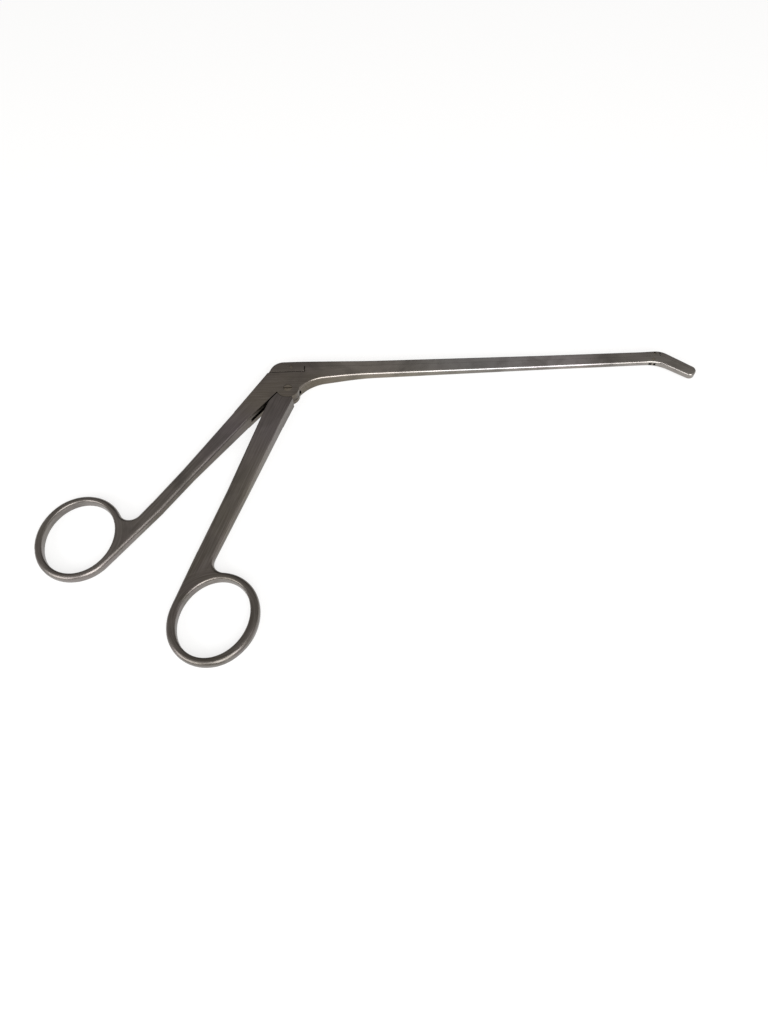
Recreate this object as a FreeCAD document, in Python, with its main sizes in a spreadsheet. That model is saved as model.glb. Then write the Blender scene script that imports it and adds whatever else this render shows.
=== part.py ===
import FreeCAD, Part
import math
import os
import re
import Sketcher

# A sliding bone rongeur with a down-angled jaw, closed, lying on its side.
# Origin: on the handle pivot, at the rest plane. X runs along the shaft to the tip,
# Y away from the finger rings, Z up through the thickness of the head.
# Every piece is drawn about the middle plane of the instrument and then lifted by half a head.

SIZES = [
    # head
    ("head_thick", 6.0, "thickness of head and handle tops"),
    ("seam_height", 12.0, "pivot to the seam between bar and slider"),
    ("seat_drop", 3.2, "seam down to the seat of the slider's rear block"),
    ("seat_front", 7.5, "front end of the seat"),
    ("head_back", 9.0, "pivot to the back corner of the seat"),
    ("cheek_radius", 5.0, "rounded lower end of the head about the pivot"),
    ("cheek_rear", 202.0, "angle at which that round starts"),
    ("cheek_front", 300.0, "angle at which that round ends"),
    ("slot_width", 1.9, "slot of the head for the lever"),
    ("slot_sweep", 45.0, "radius of the cutter run-out of that slot"),
    ("slot_front", 5.6, "front wall of that slot"),
    ("slot_back", 5.0, "back wall of that slot at the seat"),
    ("slot_corner_x", -13.6, "corner of the run-out, before rounding"),
    ("slot_corner_y", -2.5, "corner of the run-out, before rounding"),
    ("slot_end_x", -16.0, "lower end of the run-out, clear of the shank"),
    ("slot_end_y", -17.0, "lower end of the run-out, clear of the shank"),
    ("throat_x", 8.3, "corner between the head's front and the shaft, before rounding"),
    ("throat_y", 4.6, "height of that corner"),
    ("throat_radius", 17.0, "hollow curve from head to shaft"),
    # shaft
    ("bend_x", 166.2, "pivot to where the underside turns down into the jaw"),
    ("bar_high", 3.25, "height of the bar at the bend"),
    ("bend_radius", 15.0, "curve of the underside at the bend"),
    ("neck_x", 31.5, "where the shaft's underside levels out"),
    ("neck_drop", 1.6, "how far the underside lies lower there than at the bend"),
    ("neck_radius", 150.0, "curve of the underside there"),
    ("taper_x", 5.0, "where the head's taper in width starts"),
    ("taper_curve", 300.0, "curves that join the tapers in width"),
    ("waist_x", 36.0, "where the head's taper in width ends"),
    ("waist_width", 3.8, "width of the shaft there"),
    ("slim_back", 56.2, "bend back to where the shaft reaches its slimmest width"),
    ("slim_width", 2.7, "slimmest width of the shaft"),
    ("flare_back", 6.2, "bend back to where the shaft widens to the jaws"),
    ("flare_long", 7.0, "length over which it widens"),
    ("jaw_width", 3.2, "width of the jaws"),
    ("long_round", 0.9, "rounded long edges of shaft and jaws"),
    ("slide_gap", 0.06, "running gap between slider and bar"),
    # jaws
    ("seam_ahead", 1.6, "bend to where the jaws' joint face leaves the bar's top"),
    ("seam_drop", 35.0, "slope of the jaws' joint face"),
    ("crown_ahead", 2.35, "bend to where the slider's top turns down, before rounding"),
    ("crown_round", 9.0, "rounding of that turn"),
    ("jaw_back_drop", 38.5, "slope of the upper jaw's back"),
    ("jaw_belly_drop", 35.5, "slope of the lower jaw's underside"),
    ("jaw_long", 16.3, "bend to the upper corner of the jaws' end, before rounding"),
    ("jaw_end_height", 5.0, "height of the jaws' end across the jaw, before rounding"),
    ("tip_round", 2.35, "rounding of the jaws' end in the side view"),
    ("jaw_gap", 0.06, "gap between the closed jaw rims"),
    ("heel_gap", 0.15, "gap between the slider's end and the upper jaw's heel at the top"),
    ("heel_foot", 0.45, "that gap at the seam"),
    ("heel_waist", 0.7, "that gap where it is widest"),
    ("heel_waist_up", 1.3, "seam up to there"),
    ("tang_ahead", 3.1, "bend to where the tang runs out into the joint face"),
    ("cup_long", 5.2, "half length of the cups"),
    ("cup_half", 1.15, "half width of the cups"),
    ("cup_deep", 1.3, "depth of the lower cup"),
    ("cup_shallow", 0.9, "depth of the upper cup"),
    ("cup_from_seam", 8.9, "seam corner to the middle of the cups, along the joint face"),
    ("jaw_pin_back", 2.0, "bend back to the jaw pin"),
    ("jaw_pin_up", 1.45, "underside at the bend up to the jaw pin"),
    ("jaw_pin_size", 1.3, "diameter of the jaw pin"),
    ("link_arm", 3.45, "jaw pin to link pin"),
    ("link_pin_size", 1.0, "diameter of the link pin"),
    ("jaw_swing", 44.0, "full opening of the upper jaw"),
    ("tang_thick", 1.2, "thickness of the upper jaw's tang"),
    ("tang_gap", 0.05, "side gap of the tang in its slots"),
    ("tang_eye", 1.2, "radius of the tang about the jaw pin"),
    ("link_eye", 0.95, "radius of the tang about the link pin"),
    ("window_back", 2.3, "jaw pin back to the rear end of the tang's window in the bar"),
    ("window_ahead", 5.5, "jaw pin to the front end of that window"),
    ("window_under", 0.8, "jaw pin to the front end of its opening in the underside"),
    ("floor_drop", 0.15, "underside at the bend down to the window's floor"),
    ("lip_rise", 1.65, "underside at the bend up to that floor's front end"),
    ("fork_back", 1.0, "jaw pin back to the rear end of the tang's slot in the slider"),
    ("pin_gap", 0.03, "running gap about a pin"),
    ("pin_inset", 0.08, "how far pin ends lie below the surface"),
    # slider
    ("slider_high", 3.1, "height of the slider above the seam"),
    ("slider_ahead", 1.25, "bend to the front end of the slider"),
    ("block_front", 7.0, "front of the slider's rear block"),
    ("block_back", 8.9, "pivot to the back corner of the rear block"),
    ("block_slope", 67.0, "slope of the rear block's back"),
    ("block_round", 6.3, "rounded upper back corner of the rear block"),
    ("block_roof", 1.0, "wall of the block over the lever's room"),
    ("notch", 0.35, "eased corners at the seam's rear end"),
    # lever and pivot
    ("drive_pin_size", 1.8, "diameter of the drive pin"),
    ("lever_thick", 1.8, "thickness of the lever tongue"),
    ("lever_boss", 4.9, "radius of the lever about the pivot"),
    ("lever_end", 2.1, "radius of the lever's forked end"),
    ("lever_room", 3.5, "half length of the lever's room in the slider"),
    ("lever_roof", 0.3, "gap between the lever's end and the roof of that room"),
    ("notch_depth", 0.1, "drive notch below its pin"),
    ("shoulder_gap", 0.15, "gap between cheek and handle shoulder"),
    ("horn_angle", 291.5, "front end of the handle's shoulder, about the pivot"),
    ("horn_reach", 6.3, "pivot to that end"),
    ("shoulder_angle", 210.0, "back end of the shoulder, about the pivot"),
    ("shoulder_reach", 5.3, "pivot to that end"),
    ("shoulder_round", 0.8, "rounding of that end"),
    ("brow_x", -7.9, "bend of the handle's back edge below the shoulder"),
    ("brow_y", -6.7, "height of that bend"),
    ("brow_round", 8.0, "rounding of that bend"),
    ("pivot_size", 2.6, "diameter of the pivot screw"),
    ("pivot_head_size", 3.8, "diameter of its head"),
    ("pivot_head_thick", 1.1, "thickness of its head"),
    ("driver_slot", 0.5, "width of its driver slot"),
    ("driver_depth", 0.5, "depth of its driver slot"),
    # guide studs
    ("rear_stud_x", 24.0, "rear guide stud"),
    ("front_stud_back", 18.2, "bend back to the front guide stud"),
    ("stud_neck", 1.0, "diameter of a stud's neck"),
    ("stud_head", 1.7, "diameter of a stud's head"),
    ("stud_head_thick", 0.7, "thickness of a stud's head"),
    ("stud_lip", 0.9, "thickness of the lips over the stud's head"),
    ("stud_gap", 0.05, "running gap about the studs"),
    ("entry_gap", 2.0, "full travel to the hole where a stud's head goes in"),
    # handles
    ("ring_thick", 4.4, "thickness of rings and necks"),
    ("ring_round", 1.6, "rounded outer edges of rings and necks"),
    ("hole_round", 0.9, "rounded edges of the rings' holes"),
    ("crisp_round", 0.25, "eased edges where the shanks leave head and lever"),
    ("rear_slope", 52.9, "slope of the rear shank"),
    ("rear_top_x", -19.8, "rear shank, at the head"),
    ("rear_top_y", -14.4, "rear shank, at the head"),
    ("rear_top_width", 7.1, "its width there"),
    ("rear_mid_x", -40.1, "rear shank, halfway"),
    ("rear_mid_y", -41.65, "rear shank, halfway"),
    ("rear_mid_width", 6.2, "its width there"),
    ("rear_neck_x", -51.35, "rear shank, at the ring's neck"),
    ("rear_neck_y", -56.95, "rear shank, at the ring's neck"),
    ("rear_neck_width", 6.0, "its width there"),
    ("rear_ring_x", -80.3, "middle of the rear ring"),
    ("rear_ring_y", -69.35, "middle of the rear ring"),
    ("rear_ring_long", 18.5, "half length of the ring"),
    ("rear_ring_wide", 16.85, "half width of the ring"),
    ("rear_ring_end", 16.0, "radius of its two ends"),
    ("rear_ring_turn", 82.0, "slope of the ring's long axis"),
    ("rear_hole_long", 15.8, "half length of its hole"),
    ("rear_hole_wide", 13.75, "half width of its hole"),
    ("rear_flare", 4.5, "hollow curve from neck to ring"),
    ("front_slope", 69.5, "slope of the front shank"),
    ("front_top_x", -6.4, "front shank, below the shoulder"),
    ("front_top_y", -15.4, "front shank, below the shoulder"),
    ("front_top_width", 8.9, "its width there"),
    ("front_mid_x", -20.1, "front shank, halfway"),
    ("front_mid_y", -52.8, "front shank, halfway"),
    ("front_mid_width", 8.4, "its width there"),
    ("front_neck_x", -30.3, "front shank, at the ring's neck"),
    ("front_neck_y", -79.4, "front shank, at the ring's neck"),
    ("front_neck_width", 7.6, "its width there"),
    ("front_ring_x", -25.66, "middle of the front ring"),
    ("front_ring_y", -105.46, "middle of the front ring"),
    ("front_ring_long", 18.57, "half length of the ring"),
    ("front_ring_wide", 16.82, "half width of the ring"),
    ("front_ring_end", 16.0, "radius of its two ends"),
    ("front_ring_turn", 67.5, "slope of the ring's long axis"),
    ("front_hole_long", 15.68, "half length of its hole"),
    ("front_hole_wide", 13.19, "half width of its hole"),
    ("front_flare", 4.6, "hollow curve from neck to ring"),
    ("neck_step", 0.04, "how far the shank's lower end lies inside the neck"),
    ("mid_thick", 5.1, "thickness of the shanks halfway"),
    ("mid_round", 2.1, "rounded edges of the shanks halfway"),
    # cuts
    ("beyond", 30.0, "how far cuts reach past the metal"),
]

# Places worked out from the sizes above, kept in the same sheet.
PLACES = [
    ("seat_height", "seam_height - seat_drop", "seat of the slider's rear block"),
    ("top_height", "seam_height + slider_high", "top of the slider"),
    ("bar_bottom", "seam_height - bar_high", "underside of the shaft at the bend"),
    ("neck_y", "bar_bottom - neck_drop", "underside of the shaft where it levels out"),
    ("slim_x", "bend_x - slim_back", "where the shaft reaches its slimmest width"),
    ("flare_x", "bend_x - flare_back", "where the shaft widens to the jaws"),
    ("jaw_start_x", "flare_x + flare_long", "where the jaws have their full width"),
    ("seam_front", "bend_x + seam_ahead", "where the joint face leaves the bar's top"),
    ("crown_x", "bend_x + crown_ahead", "where the slider's top turns down"),
    ("jaw_reach", "bend_x + jaw_long", "upper corner of the jaws' end"),
    ("slider_front", "bend_x + slider_ahead", "front end of the slider"),
    ("tang_front", "bend_x + tang_ahead", "where the tang runs out into the joint face"),
    ("front_stud_x", "bend_x - front_stud_back", "front guide stud"),
    ("jaw_pin_x", "bend_x - jaw_pin_back", "jaw pin"),
    ("jaw_pin_y", "bar_bottom + jaw_pin_up", "jaw pin"),
    ("drive_height", "top_height - block_roof - lever_roof - lever_end", "pivot to drive pin"),
    ("travel", "2 * link_arm * sin(jaw_swing / 2)", "travel of the slider"),
    ("drive_x", "travel / 2", "drive pin, jaws closed"),
    ("lever_tilt", "atan(drive_x / drive_height) / 1 deg", "tilt of the lever, jaws closed"),
    ("lever_long", "drive_height / cos(lever_tilt)", "pivot to drive pin, jaws closed"),
    ("lever_taper", "asin((lever_boss - lever_end) / lever_long) / 1 deg", "taper of the lever"),
    ("link_x", "jaw_pin_x + link_arm * sin(jaw_swing / 2)", "link pin, jaws closed"),
    ("link_y", "jaw_pin_y + link_arm * cos(jaw_swing / 2)", "link pin, jaws closed"),
    ("link_top", "jaw_pin_y + link_arm", "link pin, jaws half open"),
    ("foot_x", "cheek_radius * cos(cheek_front)", "lower front end of the head"),
    ("foot_y", "cheek_radius * sin(cheek_front)", "lower front end of the head"),
    ("end_top_y", "top_height - (jaw_reach - crown_x) * tan(jaw_back_drop)",
     "upper corner of the jaws' end"),
    ("end_low_x", "jaw_reach - jaw_end_height * sin((jaw_back_drop + jaw_belly_drop) / 2)",
     "lower corner of the jaws' end"),
    ("end_low_y", "bar_bottom - (end_low_x - bend_x) * tan(jaw_belly_drop)",
     "lower corner of the jaws' end"),
    ("cup_x", "seam_front + cup_from_seam * cos(seam_drop)", "middle of the cups"),
    ("cup_y", "seam_height - cup_from_seam * sin(seam_drop)", "middle of the cups"),
    ("flare_rate", "(jaw_width - slim_width) / flare_long",
     "widening of the shaft towards the jaws"),
    ("channel_high", "stud_head_thick + 2 * stud_gap", "height of the channels for stud heads"),
]
PLACES += [(name + word, formula.replace("ring_", name + "_ring_"), meaning)
           for name in ("rear", "front") for word, formula, meaning in (
               ("_side_radius", "((ring_long - ring_end)^2 + ring_wide^2 - ring_end^2)"
                " / (2 * (ring_wide - ring_end))", "radius of the ring's two long sides"),
               ("_end_along", "ring_long - ring_end", "middle of the ring to that of its ends"))]

doc = FreeCAD.newDocument("rongeur")
sheet = doc.addObject("Spreadsheet::Sheet", "sizes")
for row, (alias, number, meaning) in enumerate(SIZES, start=1):
    sheet.set("A%d" % row, str(number))
    sheet.setAlias("A%d" % row, alias)
    sheet.set("B%d" % row, meaning)
for row, (alias, formula, meaning) in enumerate(PLACES, start=len(SIZES) + 1):
    sheet.set("A%d" % row, "=" + formula)
    sheet.setAlias("A%d" % row, alias)
    sheet.set("B%d" % row, meaning)
doc.recompute()
ALIASES = {alias for alias, number, meaning in SIZES + PLACES}


def bound(formula):
    """The formula with every size name pointed at the spreadsheet."""
    def point_at_sheet(match):
        word = match.group(0)
        return "sizes." + word if word in ALIASES else word
    return re.sub(r"[a-z_]+", point_at_sheet, str(formula))


def value(formula):
    """The number that a formula gives with the sizes as they stand."""
    return float(sheet.evalExpression(str(formula)))


def checked(feature):
    """Recompute and refuse a feature that failed."""
    doc.recompute()
    if any(word in ("Invalid", "Error") for word in feature.State):
        raise RuntimeError("feature failed: " + feature.Label)
    return feature


def new_body(label):
    """A body whose middle plane lies half a head above the rest plane."""
    body = doc.addObject("PartDesign::Body", label)
    body.Label = label
    body.setExpression("Placement.Base.z", bound("head_thick / 2"))
    return body


def new_sketch(body, name, role="XY_Plane", offset=None):
    """A sketch on one of the body's own origin planes, moved along its normal by a formula."""
    sketch = body.newObject("Sketcher::SketchObject", name)
    plane = [item for item in body.Origin.OriginFeatures if item.Role == role][0]
    sketch.AttachmentSupport = [(plane, "")]
    sketch.MapMode = "FlatFace"
    if offset is not None:
        sketch.setExpression("AttachmentOffset.Base.z", bound(offset))
    doc.recompute()
    return sketch


def pin_down(sketch, geometry, point, x, y):
    """Tie one sketch point to the formulas of its two coordinates."""
    for kind, formula in (("DistanceX", x), ("DistanceY", y)):
        number = sketch.addConstraint(
            Sketcher.Constraint(kind, -1, 1, geometry, point, value(formula)))
        sketch.setExpression("Constraints[%d]" % number, bound(formula))


def size_of(sketch, geometry, kind, formula):
    """Tie a radius or diameter to its formula."""
    number = sketch.addConstraint(Sketcher.Constraint(kind, geometry, value(formula)))
    sketch.setExpression("Constraints[%d]" % number, bound(formula))


def outline(sketch, corners):
    """Close straight lines through corners (x, y) or (x, y, radius), each a formula.

    A corner with a radius becomes an arc tangent to both its lines, and the corner itself
    stays as a construction point, so the sketch keeps the size that was asked for.
    """
    count = len(corners)
    spots = [FreeCAD.Vector(value(corner[0]), value(corner[1]), 0) for corner in corners]
    rounds = [value(corner[2]) if len(corner) > 2 else 0.0 for corner in corners]
    starts, ends = [], []
    for i in range(count):
        back = (spots[i - 1] - spots[i]).normalize()
        on = (spots[(i + 1) % count] - spots[i]).normalize()
        half = back.getAngle(on) / 2
        reach = rounds[i] / math.tan(half) if rounds[i] else 0.0
        ends.append(spots[i] + back * reach)
        starts.append(spots[i] + on * reach)
    lines = [sketch.addGeometry(Part.LineSegment(starts[i], ends[(i + 1) % count]), False)
             for i in range(count)]
    for i in range(count):
        before, after = lines[i - 1], lines[i]
        if not rounds[i]:
            sketch.addConstraint(Sketcher.Constraint("Coincident", before, 2, after, 1))
            pin_down(sketch, after, 1, corners[i][0], corners[i][1])
            continue
        arc, turns_left = corner_arc(ends[i], spots[i], starts[i], rounds[i])
        bend = sketch.addGeometry(arc, False)
        first, last = (1, 2) if turns_left else (2, 1)
        sketch.addConstraint(Sketcher.Constraint("Tangent", before, 2, bend, first))
        sketch.addConstraint(Sketcher.Constraint("Tangent", after, 1, bend, last))
        size_of(sketch, bend, "Radius", corners[i][2])
        point = sketch.addGeometry(Part.Point(spots[i]), True)
        sketch.addConstraint(Sketcher.Constraint("PointOnObject", point, 1, before))
        sketch.addConstraint(Sketcher.Constraint("PointOnObject", point, 1, after))
        pin_down(sketch, point, 1, corners[i][0], corners[i][1])
    return checked(sketch)


def corner_arc(start, corner, end, radius):
    """The arc that rounds a corner, and whether the path turns left there."""
    way_in = (corner - start).normalize()
    way_out = (end - corner).normalize()
    turns_left = way_in.cross(way_out).z > 0
    side = 1 if turns_left else -1
    centre = start + FreeCAD.Vector(-way_in.y, way_in.x, 0) * radius * side
    middle = centre + (corner - centre).normalize() * radius
    return Part.Arc(start, middle, end), turns_left


def circle(sketch, x, y, diameter):
    """A circle at a formula's place."""
    ring = Part.Circle(FreeCAD.Vector(value(x), value(y), 0), FreeCAD.Vector(0, 0, 1),
                       value(diameter) / 2)
    number = sketch.addGeometry(ring, False)
    pin_down(sketch, number, 3, x, y)
    size_of(sketch, number, "Diameter", diameter)
    return checked(sketch)


def pad(body, name, sketch, length):
    """A pad to both sides of the sketch."""
    feature = body.newObject("PartDesign::Pad", name)
    feature.Profile = sketch
    feature.Midplane = True
    feature.setExpression("Length", bound(length))
    sketch.Visibility = False
    return checked(feature)


def pocket(body, name, sketch, length=None):
    """A pocket to both sides of the sketch, right through where no length is given."""
    before = body.Shape.Volume
    feature = body.newObject("PartDesign::Pocket", name)
    feature.Profile = sketch
    feature.Midplane = True
    if length is None:
        feature.Type = "ThroughAll"
    else:
        feature.setExpression("Length", bound(length))
    sketch.Visibility = False
    checked(feature)
    if body.Shape.Volume >= before:
        raise RuntimeError("nothing was cut by " + name)
    return feature


def round_edges(body, name, radius, wanted):
    """Fillet the edges of the body's tip that the test picks out."""
    base = body.Tip
    names = ["Edge%d" % number for number, edge in enumerate(base.Shape.Edges, start=1)
             if wanted(base.Shape, edge)]
    if not names:
        raise RuntimeError("no edge found for " + name)
    feature = body.newObject("PartDesign::Fillet", name)
    feature.Base = (base, names)
    feature.setExpression("Radius", bound(radius))
    return checked(feature)


def side_normals(shape, edge):
    """Outward normals, at the edge's middle, of the two faces that meet there."""
    middle = edge.valueAt((edge.FirstParameter + edge.LastParameter) / 2)
    normals = []
    for face in shape.ancestorsOfType(edge, Part.Face):
        u, v = face.Surface.parameter(middle)
        normals.append(face.normalAt(u, v))
    return normals


def middle_of(edge):
    """The point halfway along an edge."""
    return edge.valueAt((edge.FirstParameter + edge.LastParameter) / 2)


def side_edge(shape, edge, points):
    """Whether the edge joins a side face, square to Z, to a face whose normal passes a test."""
    normals = side_normals(shape, edge)
    if len(normals) != 2:
        return False
    first, second = sorted(normals, key=lambda normal: abs(normal.z))
    return abs(second.z) > 0.9 and abs(first.z) < 0.3 and points(first)


def narrow(body):
    """Cut both sides of the shaft to its width as seen from above."""
    sketch = new_sketch(body, body.Label + "_plan", "XZ_Plane")
    for sign in ("", "-"):
        outline(sketch, [
            ("-head_back", sign + "head_thick / 2"),
            ("taper_x", sign + "head_thick / 2", "taper_curve"),
            ("waist_x", sign + "waist_width / 2", "taper_curve"),
            ("slim_x", sign + "slim_width / 2", "taper_curve"),
            ("flare_x", sign + "slim_width / 2", "bend_radius"),
            ("jaw_start_x", sign + "jaw_width / 2", "bend_radius"),
            ("jaw_reach + beyond", sign + "jaw_width / 2"),
            ("jaw_reach + beyond", sign + "beyond"),
            ("-head_back", sign + "beyond"),
        ])
    return pocket(body, body.Label + "_taper", sketch)


def box_cut(body, name, corners, width=None):
    """Pocket a closed outline of the side view, right through or to a width about the middle."""
    sketch = new_sketch(body, name + "_outline")
    outline(sketch, corners)
    return pocket(body, name, sketch, width)


def bore(body, name, x, y, diameter):
    """A round hole along Z."""
    sketch = new_sketch(body, name + "_circle")
    circle(sketch, x, y, diameter)
    return pocket(body, name, sketch)


def section(body, name, x, y, slope, width, thick, corner):
    """A rounded rectangle square to a handle's shank."""
    sketch = new_sketch(body, name, "XZ_Plane")
    sketch.AttachmentOffset = FreeCAD.Placement(
        FreeCAD.Vector(0, 0, 0), FreeCAD.Rotation(FreeCAD.Vector(0, 1, 0), value(slope) - 90))
    sketch.setExpression("AttachmentOffset.Base.x", bound(x))
    sketch.setExpression("AttachmentOffset.Base.z", bound("-" + y))
    sketch.setExpression("AttachmentOffset.Rotation.Angle", bound(slope + " - 90"))
    half, deep = "(" + width + ") / 2", "(" + thick + ") / 2"
    outline(sketch, [
        ("-" + half, "-" + deep, corner),
        (half, "-" + deep, corner),
        (half, deep, corner),
        ("-" + half, deep, corner),
    ])
    sketch.Visibility = False
    return sketch


def ellipse(sketch, x, y, along, across, turn):
    """An ellipse with its half axes and the slope of its long axis bound to the sheet."""
    centre = FreeCAD.Vector(value(x), value(y), 0)
    angle = math.radians(value(turn))
    way = FreeCAD.Vector(math.cos(angle), math.sin(angle), 0)
    side = FreeCAD.Vector(-way.y, way.x, 0)
    reach, spread = way * value(along), side * value(across)
    curve = sketch.addGeometry(Part.Ellipse(centre + reach, centre + spread, centre), False)
    long_axis = sketch.addGeometry(Part.LineSegment(centre + reach, centre - reach), True)
    short_axis = sketch.addGeometry(Part.LineSegment(centre + spread, centre - spread), True)
    for end, sign in ((1, " + "), (2, " - ")):
        pin_down(sketch, long_axis, end, x + sign + along + " * cos(" + turn + ")",
                 y + sign + along + " * sin(" + turn + ")")
    sketch.addConstraint(Sketcher.Constraint("InternalAlignment:EllipseMajorDiameter",
                                             long_axis, curve))
    sketch.addConstraint(Sketcher.Constraint("InternalAlignment:EllipseMinorDiameter",
                                             short_axis, curve))
    number = sketch.addConstraint(Sketcher.Constraint("Distance", short_axis, 2 * value(across)))
    sketch.setExpression("Constraints[%d]" % number, bound("2 * " + across))
    return checked(sketch)


def ring_and_neck(sketch, name, side):
    """One wire of straight neck, oval ring and the hollow curve that joins them.

    The oval is made of four tangent arcs, two of its ends and two of its long sides. The
    outer edge of the neck runs tangent into one side arc, and the hollow curve into the near
    end. side is 1 where that edge is the right one, looking up the shank from the ring, and
    -1 where it is the left one.
    """
    slope, turn = (math.radians(value(name + word)) for word in ("_slope", "_ring_turn"))
    down = FreeCAD.Vector(-math.cos(slope), -math.sin(slope), 0)
    out = FreeCAD.Vector(math.sin(slope), -math.cos(slope), 0) * side
    long_way = FreeCAD.Vector(math.cos(turn), math.sin(turn), 0)
    wide_way = FreeCAD.Vector(math.sin(turn), -math.cos(turn), 0) * side
    neck = FreeCAD.Vector(value(name + "_neck_x"), value(name + "_neck_y"), 0)
    centre = FreeCAD.Vector(value(name + "_ring_x"), value(name + "_ring_y"), 0)
    end_radius, side_radius = value(name + "_ring_end"), value(name + "_side_radius")
    flare = value(name + "_flare")
    near_end = centre + long_way * value(name + "_end_along")
    far_end = centre - long_way * value(name + "_end_along")
    set_back = side_radius - value(name + "_ring_wide")
    outer_side, inner_side = centre - wide_way * set_back, centre + wide_way * set_back
    outer = neck + out * value(name + "_neck_width") / 2
    inner = neck - out * value(name + "_neck_width") / 2
    away = outer - outer_side
    turned_by = math.degrees(math.acos(side_radius / away.Length)) * -side
    spin = FreeCAD.Rotation(FreeCAD.Vector(0, 0, 1), turned_by)
    touch = outer_side + spin.multVec(away).normalize() * side_radius
    outer_join = outer_side + (far_end - outer_side).normalize() * side_radius
    far_join = inner_side + (far_end - inner_side).normalize() * side_radius
    near_join = inner_side + (near_end - inner_side).normalize() * side_radius
    lateral = (inner - near_end).dot(out) - flare
    hollow = near_end + out * lateral - down * math.sqrt((end_radius + flare) ** 2 - lateral ** 2)
    join = near_end + (hollow - near_end) * (end_radius / (end_radius + flare))
    leave = hollow + out * flare

    def arc(start, about, end):
        """The arc of less than half a turn from start to end."""
        halfway = ((start - about) + (end - about)).normalize() * (start - about).Length
        return sketch.addGeometry(Part.Arc(start, about + halfway, end), False)

    end_line = sketch.addGeometry(Part.LineSegment(inner, outer), False)
    outer_line = sketch.addGeometry(Part.LineSegment(outer, touch), False)
    outer_arc = arc(touch, outer_side, outer_join)
    far_arc = arc(outer_join, far_end, far_join)
    inner_arc = arc(far_join, inner_side, near_join)
    near_arc = arc(near_join, near_end, join)
    curve = arc(join, hollow, leave)
    inner_line = sketch.addGeometry(Part.LineSegment(leave, inner), False)
    first, last = (2, 1) if side > 0 else (1, 2)
    for constraint in (
            ("Coincident", end_line, 2, outer_line, 1),
            ("Tangent", outer_line, 2, outer_arc, first),
            ("Tangent", outer_arc, last, far_arc, first),
            ("Tangent", far_arc, last, inner_arc, first),
            ("Tangent", inner_arc, last, near_arc, first),
            ("Tangent", near_arc, last, curve, last),
            ("Tangent", curve, first, inner_line, 1),
            ("Coincident", inner_line, 2, end_line, 1),
            ("Perpendicular", inner_line, end_line)):
        sketch.addConstraint(Sketcher.Constraint(*constraint))
    half = name + "_neck_width / 2"
    sign = "" if side > 0 else "-"
    for point, way in ((1, " - "), (2, " + ")):
        pin_down(sketch, end_line, point,
                 name + "_neck_x" + way + sign + half + " * sin(" + name + "_slope)",
                 name + "_neck_y" + way + sign + half + " * -cos(" + name + "_slope)")
    for number, way in ((near_arc, " + "), (far_arc, " - ")):
        pin_down(sketch, number, 3,
                 name + "_ring_x" + way + name + "_end_along * cos(" + name + "_ring_turn)",
                 name + "_ring_y" + way + name + "_end_along * sin(" + name + "_ring_turn)")
        size_of(sketch, number, "Radius", name + "_ring_end")
    back = sign + "(" + name + "_side_radius - " + name + "_ring_wide)"
    pin_down(sketch, outer_arc, 3,
             name + "_ring_x - " + back + " * sin(" + name + "_ring_turn)",
             name + "_ring_y + " + back + " * cos(" + name + "_ring_turn)")
    size_of(sketch, inner_arc, "Radius", name + "_side_radius")
    size_of(sketch, curve, "Radius", name + "_flare")
    return checked(sketch)


def handle(body, name, side):
    """Ring, neck and shank of one handle, with the neck's outer edge on the given side."""
    def size(word):
        return name + "_" + word

    ring = new_sketch(body, size("ring_outline"))
    ring_and_neck(ring, name, side)
    pad(body, size("ring"), ring, "ring_thick")

    def on_outline(shape, edge):
        flat = abs(abs(middle_of(edge).z) - value("ring_thick") / 2) < 0.001
        neck = FreeCAD.Vector(value(size("neck_x")), value(size("neck_y")), middle_of(edge).z)
        return flat and middle_of(edge).distanceToPoint(neck) > 0.01

    round_edges(body, size("ring_edges"), "ring_round", on_outline)
    hole = new_sketch(body, size("hole_outline"))
    ellipse(hole, size("ring_x"), size("ring_y"), size("hole_long"), size("hole_wide"),
            size("ring_turn"))
    pocket(body, size("hole"), hole)
    round_edges(body, size("hole_edges"), "hole_round",
                lambda shape, edge: edge.isClosed() and on_outline(shape, edge))

    shank = body.newObject("PartDesign::AdditiveLoft", size("shank"))
    shank.Profile = section(body, size("neck_section"), size("neck_x"), size("neck_y"),
                            size("slope"), size("neck_width") + " - 2 * neck_step",
                            "ring_thick - 2 * neck_step", "ring_round")
    shank.Sections = [
        section(body, size("mid_section"), size("mid_x"), size("mid_y"), size("slope"),
                size("mid_width"), "mid_thick", "mid_round"),
        section(body, size("top_section"), size("top_x"), size("top_y"), size("slope"),
                size("top_width"), "head_thick", "crisp_round"),
    ]
    shank.Ruled = True
    return checked(shank)


def turned(label, half_outline, role, place):
    """A turned pin or screw: half its profile, revolved about its own axis.

    The profile is drawn as (distance from axis, place along axis). The sketch lies on the
    plane of the given role and is moved by the formulas of place.
    """
    body = new_body(label)
    sketch = new_sketch(body, label + "_profile", role)
    for path, formula in place.items():
        sketch.setExpression("AttachmentOffset.Base." + path, bound(formula))
    doc.recompute()
    outline(sketch, half_outline)
    feature = body.newObject("PartDesign::Revolution", label + "_turned")
    feature.Profile = sketch
    feature.ReferenceAxis = (sketch, ["V_Axis"])
    feature.Angle = 360
    sketch.Visibility = False
    checked(feature)
    return body


def across_pin(label, x, y, diameter, length):
    """A plain pin along Z with eased ends."""
    radius, end = diameter + " / 2", "(" + length + ") / 2 - pin_inset"
    return turned(label, [
        ("0", "-(" + end + ")"),
        (radius + " - pin_inset", "-(" + end + ")"),
        (radius, "-(" + end + ") + pin_inset"),
        (radius, end + " - pin_inset"),
        (radius + " - pin_inset", end),
        ("0", end),
    ], "XZ_Plane", {"x": x, "z": "-(" + y + ")"})


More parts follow.
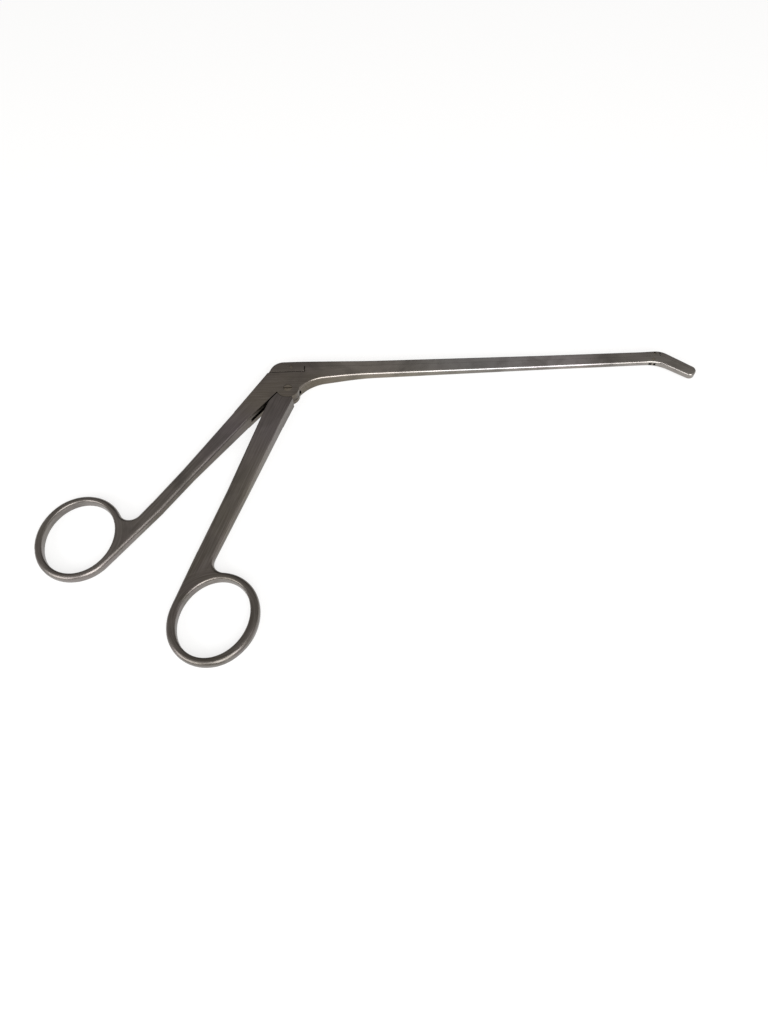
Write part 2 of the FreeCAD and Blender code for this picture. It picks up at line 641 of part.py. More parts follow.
def from_above(body, name, height, depth, draw):
    """Pocket seen from above, depth deep about a height; draw fills in its sketch."""
    sketch = new_sketch(body, name + "_outline", "XZ_Plane", "-(" + height + ")")
    draw(sketch)
    return pocket(body, name, sketch, depth)


def long_slot(rear, front, width):
    """A drawing of a slot along X with rounded ends."""
    half, corner = "(" + width + ") / 2", "(" + width + ") * 0.45"
    return lambda sketch: outline(sketch, [
        (rear, "-" + half, corner),
        (front, "-" + half, corner),
        (front, half, corner),
        (rear, half, corner),
    ])


def round_hole(x, diameter):
    """A drawing of a round hole on the middle line."""
    return lambda sketch: circle(sketch, x, "0", diameter)


def cup(body, name, depth):
    """The hollow of a jaw, half an ellipsoid sunk into the joint face."""
    before = body.Shape.Volume
    feature = body.newObject("PartDesign::SubtractiveEllipsoid", name)
    feature.Angle1, feature.Angle2, feature.Angle3 = -90, 90, 360
    feature.setExpression("Radius1", bound("cup_half"))
    feature.setExpression("Radius2", bound("cup_long"))
    feature.setExpression("Radius3", bound(depth))
    feature.Placement.Rotation = FreeCAD.Rotation(FreeCAD.Vector(0, 0, 1), -value("seam_drop"))
    feature.setExpression("Placement.Rotation.Angle", bound("-seam_drop"))
    feature.setExpression("Placement.Base.x", bound("cup_x"))
    feature.setExpression("Placement.Base.y", bound("cup_y"))
    checked(feature)
    if body.Shape.Volume >= before:
        raise RuntimeError("nothing was cut by " + name)
    return feature


def side_of(name, place, sign):
    """The left (-) or right (+) corner of a shank's section, as two formulas."""
    start, half = name + "_" + place, name + "_" + place + "_width / 2"
    other = "+" if sign == "-" else "-"
    return (start + "_x " + sign + " " + half + " * sin(" + name + "_slope)",
            start + "_y " + other + " " + half + " * cos(" + name + "_slope)")


def polar(reach, angle):
    """A point about the pivot, as two formulas."""
    return (reach + " * cos(" + angle + ")", reach + " * sin(" + angle + ")")


# Frame: rear handle, slotted head, lower bar of the shaft and fixed lower jaw, in one piece.
frame = new_body("frame")
handle(frame, "rear", 1)
head_outline = new_sketch(frame, "head_outline")
outline(head_outline, [
    ("-head_back", "seat_height", "notch"),
    side_of("rear", "top", "-"),
    side_of("rear", "top", "+"),
    polar("cheek_radius", "cheek_rear"),
    ("foot_x", "foot_y"),
    ("throat_x", "throat_y", "throat_radius"),
    ("neck_x", "neck_y", "neck_radius"),
    ("bend_x", "bar_bottom", "bend_radius"),
    ("end_low_x", "end_low_y", "tip_round"),
    ("jaw_reach", "end_top_y", "tip_round"),
    ("crown_x", "top_height"),
    ("seam_front", "seam_height"),
    ("seat_front", "seam_height"),
    ("seat_front", "seat_height"),
])
pad(frame, "head_and_bar", head_outline, "head_thick")
cheek = new_sketch(frame, "cheek_outline")
circle(cheek, "0", "0", "2 * cheek_radius")
pad(frame, "cheek", cheek, "head_thick")
narrow(frame)
round_edges(frame, "soft_underside", "long_round",
            lambda shape, edge: side_edge(shape, edge, lambda normal: normal.y < -0.1)
            and middle_of(edge).x > value("taper_x"))
box_cut(frame, "joint_face", [
    ("seam_front", "seam_height"),
    ("jaw_reach + beyond", "seam_height - (jaw_reach + beyond - seam_front) * tan(seam_drop)"),
    ("jaw_reach + beyond", "beyond"),
    ("seam_front", "beyond"),
])
box_cut(frame, "lever_slot", [
    ("slot_end_x", "slot_end_y"),
    ("slot_corner_x", "slot_corner_y", "slot_sweep"),
    ("-slot_back", "seam_height"),
    ("slot_front", "seam_height"),
    ("slot_front", "-beyond"),
], "slot_width")
box_cut(frame, "tang_window", [
    ("jaw_pin_x - window_back", "-beyond"),
    ("jaw_pin_x + window_under", "-beyond"),
    ("jaw_pin_x + window_under", "bar_bottom - floor_drop"),
    ("jaw_pin_x + window_ahead", "bar_bottom + lip_rise"),
    ("jaw_pin_x + window_ahead", "beyond"),
    ("jaw_pin_x - window_back", "beyond"),
], "tang_thick + 2 * tang_gap")
for stud in ("rear", "front"):
    middle = stud + "_stud_x"
    entry = middle + " - travel - entry_gap"
    from_above(frame, stud + "_neck_slot", "seam_height", "2 * stud_lip + 2 * stud_gap",
               long_slot(entry, middle + " + stud_neck / 2 + 2 * stud_gap",
                         "stud_neck + 2 * stud_gap"))
    from_above(frame, stud + "_head_channel", "seam_height - stud_lip - channel_high / 2",
               "channel_high", long_slot(entry, middle + " + stud_head / 2 + 2 * stud_gap",
                                         "stud_head + 2 * stud_gap"))
    from_above(frame, stud + "_entry", "seam_height", "2 * (stud_lip + channel_high)",
               round_hole(entry, "stud_head + 2 * stud_gap"))
cup(frame, "lower_cup", "cup_deep")
bore(frame, "jaw_pin_hole", "jaw_pin_x", "jaw_pin_y", "jaw_pin_size")
bore(frame, "pivot_hole", "0", "0", "pivot_size")
seat = new_sketch(frame, "pivot_head_circle", "XY_Plane", "head_thick / 2")
circle(seat, "0", "0", "pivot_head_size")
pocket(frame, "pivot_head_seat", seat, "2 * pivot_head_thick")

# Slider: the upper bar with its tall rear block, forked at the front for the jaw's tang.
slider = new_body("slider")
slider_outline = new_sketch(slider, "slider_outline")
outline(slider_outline, [
    ("-block_back", "seat_height + slide_gap", "notch"),
    ("block_front", "seat_height + slide_gap"),
    ("block_front", "seam_height + slide_gap"),
    ("crown_x + (slider_high - slide_gap) / tan(jaw_back_drop)", "seam_height + slide_gap"),
    ("crown_x", "top_height", "crown_round"),
    ("(top_height - seat_height - slide_gap) / tan(block_slope) - block_back", "top_height",
     "block_round"),
])
pad(slider, "block_and_bar", slider_outline, "head_thick")
narrow(slider)
round_edges(slider, "soft_top", "long_round",
            lambda shape, edge: side_edge(shape, edge, lambda normal: normal.y > 0.1))
box_cut(slider, "front_end", [
    ("slider_front", "0"),
    ("slider_front + beyond", "0"),
    ("slider_front + beyond", "beyond"),
    ("slider_front", "beyond"),
])
box_cut(slider, "lever_room", [
    ("drive_x - lever_room", "0"),
    ("drive_x + lever_room", "0"),
    ("drive_x + lever_room", "drive_height + lever_end + lever_roof"),
    ("drive_x - lever_room", "drive_height + lever_end + lever_roof"),
], "slot_width")
box_cut(slider, "tang_fork", [
    ("jaw_pin_x - fork_back", "0"),
    ("slider_front + beyond", "0"),
    ("slider_front + beyond", "beyond"),
    ("jaw_pin_x - fork_back", "beyond"),
], "tang_thick + 2 * tang_gap")
link_half = "(link_pin_size / 2 + pin_gap)"
box_cut(slider, "link_slot", [
    ("link_x - " + link_half, "link_y - " + link_half, link_half + " * 0.9"),
    ("link_x + " + link_half, "link_y - " + link_half, link_half + " * 0.9"),
    ("link_x + " + link_half, "link_top + " + link_half, link_half + " * 0.9"),
    ("link_x - " + link_half, "link_top + " + link_half, link_half + " * 0.9"),
])
bore(slider, "drive_pin_hole", "drive_x", "drive_height", "drive_pin_size")
for stud in ("rear", "front"):
    from_above(slider, stud + "_stud_hole", "top_height", "2 * top_height",
               round_hole(stud + "_stud_x", "stud_neck"))

# Front handle: ring, shank and shoulder, and the thin lever tongue that works in the head.
front_handle = new_body("front_handle")
shoulder = new_sketch(front_handle, "shoulder_outline")
outline(shoulder, [
    polar("shoulder_reach", "shoulder_angle") + ("shoulder_round",),
    ("brow_x", "brow_y", "brow_round"),
    side_of("front", "top", "-"),
    side_of("front", "top", "+"),
    polar("horn_reach", "horn_angle"),
    polar("cheek_radius", "horn_angle"),
])
pad(front_handle, "shoulder", shoulder, "head_thick")
bore(front_handle, "cheek_room", "0", "0", "2 * (cheek_radius + shoulder_gap)")
handle(front_handle, "front", -1)
strap = new_sketch(front_handle, "strap_outline")
outline(strap, [
    ("0", "0"),
    polar("lever_boss", "shoulder_angle"),
    side_of("front", "top", "-"),
    side_of("front", "top", "+"),
    polar("lever_boss", "horn_angle"),
])
pad(front_handle, "strap", strap, "lever_thick")
boss = new_sketch(front_handle, "lever_boss_circle")
circle(boss, "0", "0", "2 * lever_boss")
pad(front_handle, "lever_boss", boss, "lever_thick")
left, right = "(180 - lever_tilt - lever_taper)", "(lever_taper - lever_tilt)"
taper = new_sketch(front_handle, "lever_taper_outline")
outline(taper, [
    polar("lever_boss", left),
    polar("lever_boss", right),
    ("drive_x + lever_end * cos" + right, "drive_height + lever_end * sin" + right),
    ("drive_x + lever_end * cos" + left, "drive_height + lever_end * sin" + left),
])
pad(front_handle, "lever_taper", taper, "lever_thick")
eye = new_sketch(front_handle, "lever_end_circle")
circle(eye, "drive_x", "drive_height", "2 * lever_end")
pad(front_handle, "lever_end", eye, "lever_thick")
bore(front_handle, "pivot_eye", "0", "0", "pivot_size + 2 * pin_gap")
along = "(90 - lever_tilt)"
notch_half, notch_floor = "(drive_pin_size / 2 + pin_gap)", "(lever_long - notch_depth)"
bore(front_handle, "notch_floor", notch_floor + " * cos" + along, notch_floor + " * sin" + along,
     "2 * " + notch_half)
box_cut(front_handle, "drive_notch", [
    (start + " * cos" + along + " " + sign + " " + notch_half + " * sin" + along,
     start + " * sin" + along + " " + other + " " + notch_half + " * cos" + along)
    for start, sign, other in ((notch_floor, "-", "+"), (notch_floor, "+", "-"),
                               ("(lever_long + lever_end + 1)", "+", "-"),
                               ("(lever_long + lever_end + 1)", "-", "+"))
])

# Upper jaw: cupped jaw, with a thin tang that reaches down to its pin in the bar.
upper_jaw = new_body("upper_jaw")
jaw_outline = new_sketch(upper_jaw, "jaw_outline")
outline(jaw_outline, [
    ("flare_x - flare_long", "bar_bottom"),
    ("bend_x", "bar_bottom", "bend_radius"),
    ("end_low_x", "end_low_y", "tip_round"),
    ("jaw_reach", "end_top_y", "tip_round"),
    ("crown_x", "top_height", "crown_round"),
    ("flare_x - flare_long", "top_height"),
])
pad(upper_jaw, "jaw", jaw_outline, "head_thick")
narrow(upper_jaw)
round_edges(upper_jaw, "soft_back", "long_round",
            lambda shape, edge: side_edge(shape, edge, lambda normal: normal.y > 0.1))
box_cut(upper_jaw, "heel", [
    ("0", "0"),
    ("slider_front + heel_foot", "0"),
    ("slider_front + heel_foot", "seam_height"),
    ("slider_front + heel_waist", "seam_height + heel_waist_up"),
    ("slider_front + heel_gap", "top_height"),
    ("slider_front + heel_gap", "beyond"),
    ("0", "beyond"),
])
rim = "(seam_height + jaw_gap / cos(seam_drop))"
box_cut(upper_jaw, "joint_face", [
    ("seam_front", rim),
    ("seam_front", "-beyond"),
    ("jaw_reach + beyond", "-beyond"),
    ("jaw_reach + beyond", rim + " - (jaw_reach + beyond - seam_front) * tan(seam_drop)"),
])
cup(upper_jaw, "upper_cup", "cup_shallow")
for eye_name, x, y, reach in (("pin_eye", "jaw_pin_x", "jaw_pin_y", "tang_eye"),
                              ("link_eye", "link_x", "link_y", "link_eye")):
    disc = new_sketch(upper_jaw, eye_name + "_circle")
    circle(disc, x, y, "2 * " + reach)
    pad(upper_jaw, eye_name, disc, "tang_thick")
tang = new_sketch(upper_jaw, "tang_outline")
outline(tang, [
    ("jaw_pin_x + tang_eye * cos(160)", "jaw_pin_y + tang_eye * sin(160)"),
    ("jaw_pin_x + tang_eye * cos(290)", "jaw_pin_y + tang_eye * sin(290)"),
    ("tang_front", rim + " - (tang_front - seam_front) * tan(seam_drop)"),
    ("tang_front", "link_y - link_eye / 2"),
    ("link_x", "link_y + link_eye"),
    ("link_x + link_eye * cos(160)", "link_y + link_eye * sin(160)"),
])
pad(upper_jaw, "tang", tang, "tang_thick")
bore(upper_jaw, "jaw_pin_eye", "jaw_pin_x", "jaw_pin_y", "jaw_pin_size + 2 * pin_gap")
bore(upper_jaw, "link_pin_hole", "link_x", "link_y", "link_pin_size")

# Pins: plain turned steel, pressed in, a little below the surface at both ends.
across_pin("drive_pin", "drive_x", "drive_height", "drive_pin_size", "head_thick")
across_pin("jaw_pin", "jaw_pin_x", "jaw_pin_y", "jaw_pin_size",
           "(slim_width + flare_rate * (jaw_pin_x - flare_x))")
across_pin("link_pin", "link_x", "link_y", "link_pin_size",
           "(slim_width + flare_rate * (link_x - flare_x))")

# Guide studs: pressed into the slider from above, their heads running in the bar's channels.
for stud in ("rear", "front"):
    head_top = "(seam_height - stud_lip - stud_gap)"
    turned(stud + "_guide_stud", [
        ("0", head_top + " - stud_head_thick"),
        ("stud_head / 2", head_top + " - stud_head_thick"),
        ("stud_head / 2", head_top),
        ("stud_neck / 2", head_top),
        ("stud_neck / 2", "top_height - pin_inset"),
        ("0", "top_height - pin_inset"),
    ], "XY_Plane", {"x": stud + "_stud_x"})

# Pivot screw: a slotted head sunk in one cheek, its shank through the lever into the other.
screw = turned("pivot_screw", [
    ("0", "pin_inset - head_thick / 2"),
    ("pivot_size / 2 - pin_inset", "pin_inset - head_thick / 2"),
    ("pivot_size / 2", "2 * pin_inset - head_thick / 2"),
    ("pivot_size / 2", "head_thick / 2 - pivot_head_thick"),
    ("pivot_head_size / 2", "head_thick / 2 - pivot_head_thick"),
    ("pivot_head_size / 2", "head_thick / 2 - 2 * pin_inset"),
    ("pivot_head_size / 2 - pin_inset", "head_thick / 2 - pin_inset"),
    ("0", "head_thick / 2 - pin_inset"),
], "XZ_Plane", {})
slot_sketch = new_sketch(screw, "driver_slot_outline", "XY_Plane", "head_thick / 2 - pin_inset")
outline(slot_sketch, [
    ("-pivot_head_size", "-driver_slot / 2"),
    ("pivot_head_size", "-driver_slot / 2"),
    ("pivot_head_size", "driver_slot / 2"),
    ("-pivot_head_size", "driver_slot / 2"),
])
pocket(screw, "driver_slot_cut", slot_sketch, "2 * driver_depth")

# Checks, then one STEP file for each piece.
doc.recompute()
for item in doc.Objects:
    if any(word in ("Invalid", "Error") for word in item.State):
        raise RuntimeError("failed: " + item.Label)
os.makedirs("parts", exist_ok=True)
for item in doc.Objects:
    if item.TypeId != "PartDesign::Body":
        continue
    if item.Shape.isNull() or not item.Shape.isValid() or len(item.Shape.Solids) != 1:
        raise RuntimeError("not one sound solid: " + item.Label)
    item.Shape.exportStep("parts/" + item.Label + ".step")
    print(item.Label, round(item.Shape.Volume, 2), "mm3")
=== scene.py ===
import math

import bpy
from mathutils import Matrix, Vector

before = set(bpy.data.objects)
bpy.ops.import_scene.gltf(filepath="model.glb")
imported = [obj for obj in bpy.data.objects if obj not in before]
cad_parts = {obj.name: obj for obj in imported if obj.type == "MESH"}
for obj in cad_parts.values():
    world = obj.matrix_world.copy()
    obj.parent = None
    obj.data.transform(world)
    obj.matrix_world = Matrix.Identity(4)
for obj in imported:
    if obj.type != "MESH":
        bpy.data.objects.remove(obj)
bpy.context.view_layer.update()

# A sliding bone rongeur lying on its side, seen from the finger rings' side.
# The CAD pieces keep their shapes; this file gives them their steel, light and view.


# Frame: rear ring and shank, slotted head, lower bar and fixed jaw, forged in one piece.
# Martensitic stainless steel, ground and brushed along shaft, shank and ring to a fine satin,
# then passivated, which leaves it dark and warm, with paler streaks and faint water stains.
MM = 0.001
REAR_SLOPE = 52.9
REAR_RING = (-80.3, -69.35)


def linear(colour):
    """An sRGB hex colour as the linear numbers that a socket takes."""
    parts = [int(colour[i:i + 2], 16) / 255 for i in (1, 3, 5)]
    red, green, blue = (part / 12.92 if part < 0.04045 else ((part + 0.055) / 1.055) ** 2.4
                        for part in parts)
    return (red, green, blue, 1.0)


def grey(level):
    """A plain grey, for a ramp whose result is a number."""
    return (level, level, level, 1.0)


def add(tree, kind, inputs, stops=(), **settings):
    """Add a shader node with its settings.

    inputs holds each input's value, or the output or node that is linked to it; a node gives
    the first of its outputs that is in use. stops are a colour ramp's places and colours.
    """
    node = tree.nodes.new("ShaderNode" + kind)
    for name, setting in settings.items():
        setattr(node, name, setting)
    for name, given in inputs.items():
        if isinstance(given, bpy.types.Node):
            given = next(output for output in given.outputs if output.enabled)
        if isinstance(given, bpy.types.NodeSocket):
            tree.links.new(given, node.inputs[name])
        else:
            node.inputs[name].default_value = given
    if stops:
        elements = node.color_ramp.elements
        while len(elements) < len(stops):
            elements.new(0.5)
        for element, (place, colour) in zip(elements, stops):
            element.position = place
            element.color = colour
    return node


def turned(tree, place, degrees):
    """The place, turned so that a grain at this many degrees from the shaft runs along X."""
    return add(tree, "Mapping", {"Vector": place, "Rotation": (0, 0, math.radians(-degrees))})


def down_handle(tree, place, degrees):
    """Millimetres down a handle from the pivot; the handle leaves the shaft at these degrees."""
    parts = add(tree, "SeparateXYZ", {"Vector": turned(tree, place, degrees)})
    return add(tree, "Math", {0: parts.outputs["X"], 1: -1 / MM}, operation="MULTIPLY")


def down_ramp(tree, down, stops):
    """A ramp through stops of (mm, colour) down a handle; the shaft's mm are negative."""
    first_mm, last_mm = -105.0, 125.0
    share = add(tree, "MapRange", {"Value": down, "From Min": first_mm, "From Max": last_mm})
    return add(tree, "ValToRGB", {"Fac": share}, stops=[
        ((mm - first_mm) / (last_mm - first_mm), colour) for mm, colour in stops])


def about(tree, place, centre):
    """Distance in mm and angle in radians about a ring's middle, and the height in metres.

    The distance is the root of x squared plus y squared, the angle the arc tangent of y by x.
    """
    offset = add(tree, "VectorMath", {
        0: place, 1: (centre[0] * MM, centre[1] * MM, 0.0)}, operation="SUBTRACT")
    x, y, height = add(tree, "SeparateXYZ", {"Vector": offset}).outputs
    squares = add(tree, "Math", {0: x, 1: x}, operation="MULTIPLY")
    squares = add(tree, "Math", {0: y, 1: y, 2: squares}, operation="MULTIPLY_ADD")
    metres = add(tree, "Math", {0: squares, 1: 0.5}, operation="POWER")
    return (add(tree, "Math", {0: metres, 1: 1 / MM}, operation="MULTIPLY"),
            add(tree, "Math", {0: y, 1: x}, operation="ARCTAN2"), height)


def straight_marks(tree, place, degrees, brush_mm=0.42, stroke_mm=16.0):
    """Brush marks as noise drawn out along a grain.

    brush_mm and stroke_mm are a mark's width and length, a little coarser than real ones so
    that they show.
    """
    drawn = add(tree, "Mapping", {
        "Vector": turned(tree, place, degrees),
        "Scale": (1 / (stroke_mm * MM), 1 / (brush_mm * MM), 1 / (brush_mm * MM))})
    return add(tree, "TexNoise", {
        "Vector": drawn, "Scale": 1.0, "Detail": 3.0, "Roughness": 0.6})


def ring_marks(tree, place, centre, brush_mm=0.42, stroke_mm=16.0):
    """Brush marks that follow a finger ring round."""
    reach, angle, height = about(tree, place, centre)
    ring_reach = 17.0
    drawn = add(tree, "CombineXYZ", {
        "X": add(tree, "Math", {0: angle, 1: ring_reach / stroke_mm}, operation="MULTIPLY"),
        "Y": add(tree, "Math", {0: reach, 1: 1 / brush_mm}, operation="MULTIPLY"),
        "Z": add(tree, "Math", {0: height, 1: 1 / (brush_mm * MM)}, operation="MULTIPLY")})
    return add(tree, "TexNoise", {
        "Vector": drawn, "Scale": 1.0, "Detail": 3.0, "Roughness": 0.6})


def handle_marks(tree, place, degrees, ring_centre):
    """Marks along a shank that turn into marks round its ring."""
    ring_mm, shank_mm = 17.5, 22.0
    on_ring = add(tree, "MapRange", {
        "Value": about(tree, place, ring_centre)[0],
        "From Min": ring_mm, "From Max": shank_mm, "To Min": 1.0, "To Max": 0.0})
    return add(tree, "Mix", {
        "Factor": on_ring, "A": straight_marks(tree, place, degrees),
        "B": ring_marks(tree, place, ring_centre)})


def satin_steel(name, marks, tones, degrees=0.0, worn="#b3aeaa", stain="#686461",
                roughness=(0.21, 0.21), painted_shade=None):
    """Brushed and passivated stainless steel.

    marks draws the brush marks. tones are the steel's own colours, as (mm, colour) down the
    handle that leaves the shaft at the given degrees; before the pivot the mm are negative.
    worn is the polished colour of the streaks and stain the film that lies in soft patches.
    The narrow sides of shaft and shanks get painted shade, for the shadowed floor they mirror;
    they are found by how little the surface's own direction tilts towards the object's Z.
    roughness is that of the shaft and that of the duller handle. The last argument, if given,
    paints shade over the colour.
    """
    material = bpy.data.materials.new(name)
    material.use_nodes = True
    tree = material.node_tree
    tree.nodes.clear()
    surface = add(tree, "TexCoord", {})
    place = surface.outputs["Object"]
    brush = marks(tree, place)
    down = down_handle(tree, place, degrees)

    cloud_mm, patch_mm, speck_mm = 13, 17, 0.9
    clouds = add(tree, "TexNoise", {
        "Vector": place, "Scale": 1 / (cloud_mm * MM), "Detail": 3.0, "Roughness": 0.5,
        "Distortion": 0.8})
    patches = add(tree, "TexNoise", {
        "Vector": place, "Scale": 1 / (patch_mm * MM), "Detail": 4.0, "Roughness": 0.55,
        "Distortion": 0.6})
    specks = add(tree, "TexNoise", {
        "Vector": place, "Scale": 1 / (speck_mm * MM), "Detail": 2.0, "Roughness": 0.7})

    most_cloud, most_streak, most_stain = 0.28, 0.45, 0.7
    steel = down_ramp(tree, down, [(mm, linear(colour)) for mm, colour in tones])
    clouded = add(tree, "MapRange", {
        "Value": clouds, "From Min": 0.4, "From Max": 0.62, "To Max": most_cloud})
    streaked = add(tree, "ValToRGB", {"Fac": brush}, stops=[
        (0.38, grey(0.0)), (0.78, grey(most_streak))])
    stained = add(tree, "ValToRGB", {"Fac": patches}, stops=[
        (0.44, grey(0.0)), (0.7, grey(most_stain))])
    for layer, colour in ((clouded, "#877c7f"), (streaked, worn), (stained, stain)):
        steel = add(tree, "Mix", {"Factor": layer, "A": steel, "B": linear(colour)},
                    data_type="RGBA")

    # Painted shade: the narrow sides are multiplied darker, where they mirror the shadowed
    # floor.
    side_tilt, face_tilt = 0.1, 0.5
    facing = add(tree, "SeparateXYZ", {"Vector": surface.outputs["Normal"]}).outputs["Z"]
    upright = add(tree, "MapRange", {
        "Value": add(tree, "Math", {0: facing}, operation="ABSOLUTE"),
        "From Min": side_tilt, "From Max": face_tilt, "To Min": 1.0, "To Max": 0.0})
    side_shade_span = down_ramp(tree, down, [
        (-98, grey(0.3)), (-88, grey(1.0)), (80, grey(1.0)), (92, grey(0.0))])
    steel = add(tree, "Mix", {
        "Factor": add(tree, "Math", {0: upright, 1: side_shade_span}, operation="MULTIPLY"),
        "A": steel, "B": linear("#c5c2b8")}, data_type="RGBA", blend_type="MULTIPLY")
    # Painted shade, where given, such as the dark line along the slider's seam.
    if painted_shade:
        steel = painted_shade(tree, place, steel)

    shaft_end_mm, handle_start_mm = 2.0, 24.0
    gloss = add(tree, "MapRange", {
        "Value": down, "From Min": shaft_end_mm, "From Max": handle_start_mm,
        "To Min": roughness[0], "To Max": roughness[1]})
    for uneven, low, high, rise in ((patches, 0.3, 0.7, 0.07), (specks, 0.55, 0.75, 0.04)):
        duller = add(tree, "MapRange", {
            "Value": uneven, "From Min": low, "From Max": high, "To Max": rise})
        gloss = add(tree, "Math", {0: gloss, 1: duller}, operation="ADD")
    mark_depth_mm = 0.02
    relief = add(tree, "Bump", {
        "Height": brush, "Strength": 0.12, "Distance": mark_depth_mm * MM})
    shader = add(tree, "BsdfPrincipled", {
        "Base Color": steel, "Metallic": 1.0, "Roughness": gloss, "Normal": relief})
    add(tree, "OutputMaterial", {"Surface": shader})
    return material


def dress(node, material):
    """Give a CAD node its material."""
    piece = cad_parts[node]
    piece.data.materials.clear()
    piece.data.materials.append(material)


def frame_marks(tree, place):
    """Marks along the shaft and head that turn into the rear handle's."""
    head_mm, shank_mm = 11.0, 20.0
    on_handle = add(tree, "MapRange", {
        "Value": down_handle(tree, place, REAR_SLOPE),
        "From Min": head_mm, "From Max": shank_mm})
    return add(tree, "Mix", {
        "Factor": on_handle, "A": straight_marks(tree, place, 0.0),
        "B": handle_marks(tree, place, REAR_SLOPE, REAR_RING)})


shaft_tones = [(-98, "#9a9792"), (-85, "#c4bfc3"), (-58, "#a8a8aa"), (-31, "#b3ada5"),
               (-10, "#7d766e")]
rear_tones = [(14, "#857d74"), (30, "#7d767a"), (56, "#76716c"), (80, "#78736e"),
              (118, "#77726d")]
dress("frame", satin_steel(
    "brushed stainless steel, frame", frame_marks, shaft_tones + rear_tones, REAR_SLOPE,
    roughness=(0.21, 0.31)))


# Slider: the upper bar with its tall rear block, milled from the same steel and ground
# together with the frame, so its brush marks run on across the seam. A thin dark line of
# painted shade lies along the block's lower edge, where it meets the frame.
def seam_shade(tree, place, steel):
    """The steel's colour, with painted shade over the lowest half millimetre of the rear block.
    """
    seam_height, block_front = 8.8, 7.0
    full_mm, gone_mm, soft_mm = 0.45, 0.5, 0.1
    sides = add(tree, "SeparateXYZ", {"Vector": place}).outputs
    low = add(tree, "MapRange", {
        "Value": sides["Y"], "From Min": (seam_height + full_mm) * MM,
        "From Max": (seam_height + gone_mm) * MM, "To Min": 1.0, "To Max": 0.0})
    behind = add(tree, "MapRange", {
        "Value": sides["X"], "From Min": (block_front - soft_mm) * MM,
        "From Max": (block_front + soft_mm) * MM, "To Min": 1.0, "To Max": 0.0})
    return add(tree, "Mix", {
        "Factor": add(tree, "Math", {0: low, 1: behind}, operation="MULTIPLY"),
        "A": steel, "B": linear("#14110f")}, data_type="RGBA")


dress("slider", satin_steel(
    "brushed stainless steel, slider", lambda tree, place: straight_marks(tree, place, 0.0),
    shaft_tones, REAR_SLOPE, painted_shade=seam_shade))


# Front handle: ring, shank, shoulder and lever tongue in one forging of the same steel,
# brushed along its shank and round its ring, and a little darker and duller than the head.
FRONT_SLOPE = 69.5
FRONT_RING = (-25.66, -105.46)
dress("front_handle", satin_steel(
    "brushed stainless steel, handle",
    lambda tree, place: handle_marks(tree, place, FRONT_SLOPE, FRONT_RING),
    [(4, "#6e6866"), (24, "#7e7779"), (46, "#7e7870"), (85, "#736d65"), (106, "#65605a")],
    FRONT_SLOPE, roughness=(0.3, 0.31)))


# Upper jaw: the cupped jaw with its thin tang, ground from one blank of the same steel and
# turning on the jaw pin. Its marks are finer and shorter than the shaft's and run with its
# slope, so it looks even and fairly bright.
JAW_DROP = -37.0
dress("upper_jaw", satin_steel(
    "ground stainless steel, jaw",
    lambda tree, place: straight_marks(tree, place, JAW_DROP, brush_mm=0.3, stroke_mm=5.0),
    [(0, "#918c89"), (10, "#918c89")]))


# Pins, studs and screw: turned stainless steel, pressed or screwed in and ground flush with
# the sides, which leaves small discs with short marks of their own, a shade warmer and
# brighter than the steel round them.
pin_steel = satin_steel(
    "turned stainless steel, pins",
    lambda tree, place: straight_marks(tree, place, 20.0, brush_mm=0.25, stroke_mm=2.5),
    [(0, "#968e82"), (10, "#968e82")], worn="#c9c0b2", stain="#7a736a")
for pin in ("drive_pin", "jaw_pin", "link_pin", "rear_guide_stud", "front_guide_stud"):
    dress(pin, pin_steel)
dress("pivot_screw", pin_steel)


# Ground: smooth white paper, which the object lies on with hardly a shadow. It glows for the
# camera and in the metal, so that both show plain white, and still takes the shadow.
def paper():
    """White paper that reads as plain white in the view and in the metal, yet takes shadow."""
    material = bpy.data.materials.new("white paper")
    material.use_nodes = True
    tree = material.node_tree
    tree.nodes.clear()
    glow_strength = 0.75
    rays = add(tree, "LightPath", {}).outputs
    seen = rays["Is Camera Ray"]
    for kind in ("Is Glossy Ray", "Is Transmission Ray"):
        seen = add(tree, "Math", {0: seen, 1: rays[kind]}, operation="MAXIMUM")
    glow = add(tree, "Emission", {
        "Color": (1, 1, 1, 1),
        "Strength": add(tree, "Math", {0: seen, 1: glow_strength}, operation="MULTIPLY")})
    matt = add(tree, "BsdfDiffuse", {"Color": linear("#9a9a9a")})
    add(tree, "OutputMaterial", {"Surface": add(tree, "AddShader", {0: glow, 1: matt})})
    return material


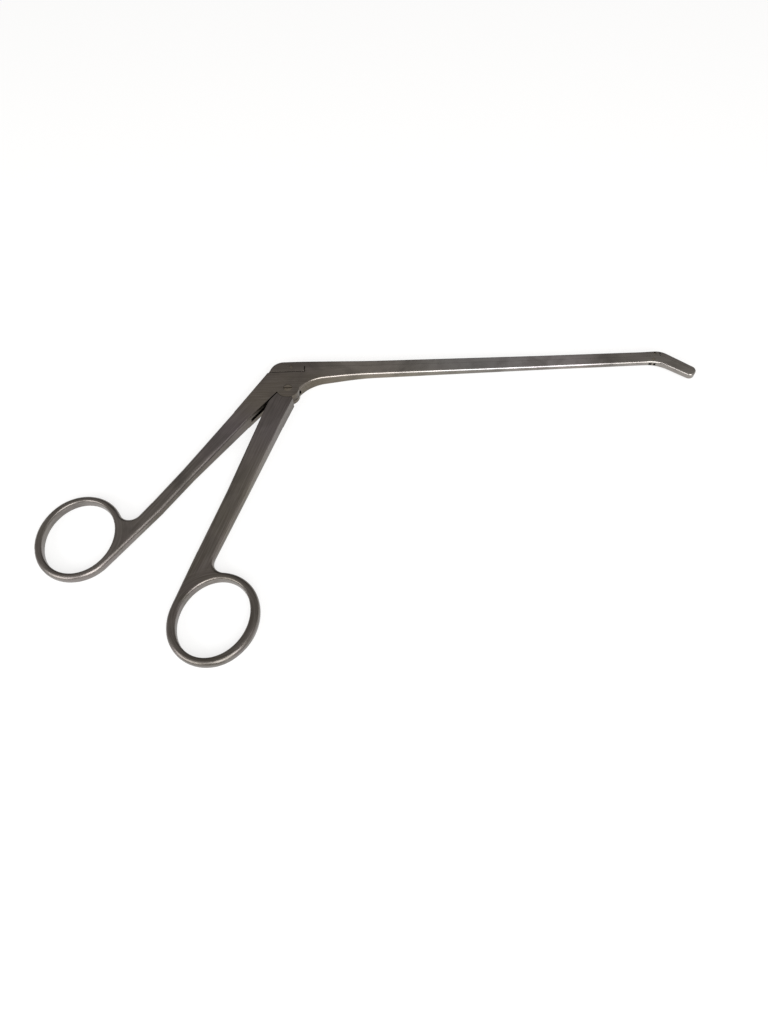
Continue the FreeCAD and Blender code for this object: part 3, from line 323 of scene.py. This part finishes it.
ground_half = 40.0
below_object_mm = 0.02
corners = [(-ground_half, -ground_half), (ground_half, -ground_half),
           (ground_half, ground_half), (-ground_half, ground_half)]
ground_mesh = bpy.data.meshes.new("ground")
ground_mesh.from_pydata([(x, y, -below_object_mm * MM) for x, y in corners], [],
                        [(0, 1, 2, 3)])
ground = bpy.data.objects.new("ground", ground_mesh)
bpy.context.scene.collection.objects.link(ground)
ground_mesh.materials.append(paper())


# Light: a grey room with a soft box in front, which draws the pale line along the shaft's
# lower edge, weaker ones to the left and right, which the rings and shanks show, and a dark
# wall behind, which the far rims show.
def soft_box(name, place, size, watts, aim=(0.03, -0.04, 0.0)):
    """A rectangular lamp of the given size in metres that faces a point of the object."""
    lamp = bpy.data.lights.new(name, "AREA")
    lamp.shape = "RECTANGLE"
    lamp.size, lamp.size_y = size
    lamp.energy = watts
    holder = bpy.data.objects.new(name, lamp)
    holder.location = place
    holder.rotation_euler = (Vector(aim) - Vector(place)).to_track_quat("-Z", "Y").to_euler()
    bpy.context.scene.collection.objects.link(holder)


soft_box("front box", (0.3, -0.74, 0.62), (0.7, 0.75), 7.4)
soft_box("left box", (-0.62, -0.62, 0.42), (0.8, 0.5), 4.8)
soft_box("right box", (0.95, -0.35, 0.7), (0.8, 0.6), 0.8)

world = bpy.data.worlds.new("studio")
bpy.context.scene.world = world
world.use_nodes = True
room = world.node_tree
room.nodes.clear()
way = add(room, "SeparateXYZ", {"Vector": add(room, "TexCoord", {}).outputs["Generated"]})
walls = add(room, "ValToRGB", {"Fac": way.outputs["Y"]}, stops=[
    (0.62, linear("#a4a19d")), (0.9, linear("#4c4b4a"))])
add(room, "OutputWorld", {
    "Surface": add(room, "Background", {"Color": walls, "Strength": 1.0})})
bpy.context.scene.view_settings.view_transform = "Standard"


# View: the photograph's, upright and from above the finger rings at 60 degrees. The place,
# the turn and the lens come from a camera fitted to the proportions in the photograph.
camera_data = bpy.data.cameras.new("view")
camera_data.sensor_fit = "VERTICAL"
camera_data.sensor_height = 36.0
camera_data.lens = 26.37
camera = bpy.data.objects.new("view", camera_data)
camera.location = (0.03235, -0.21253, 0.26256)
camera.rotation_euler = (math.radians(30.0), 0.0, math.radians(-2.63))
bpy.context.scene.collection.objects.link(camera)
bpy.context.scene.camera = camera
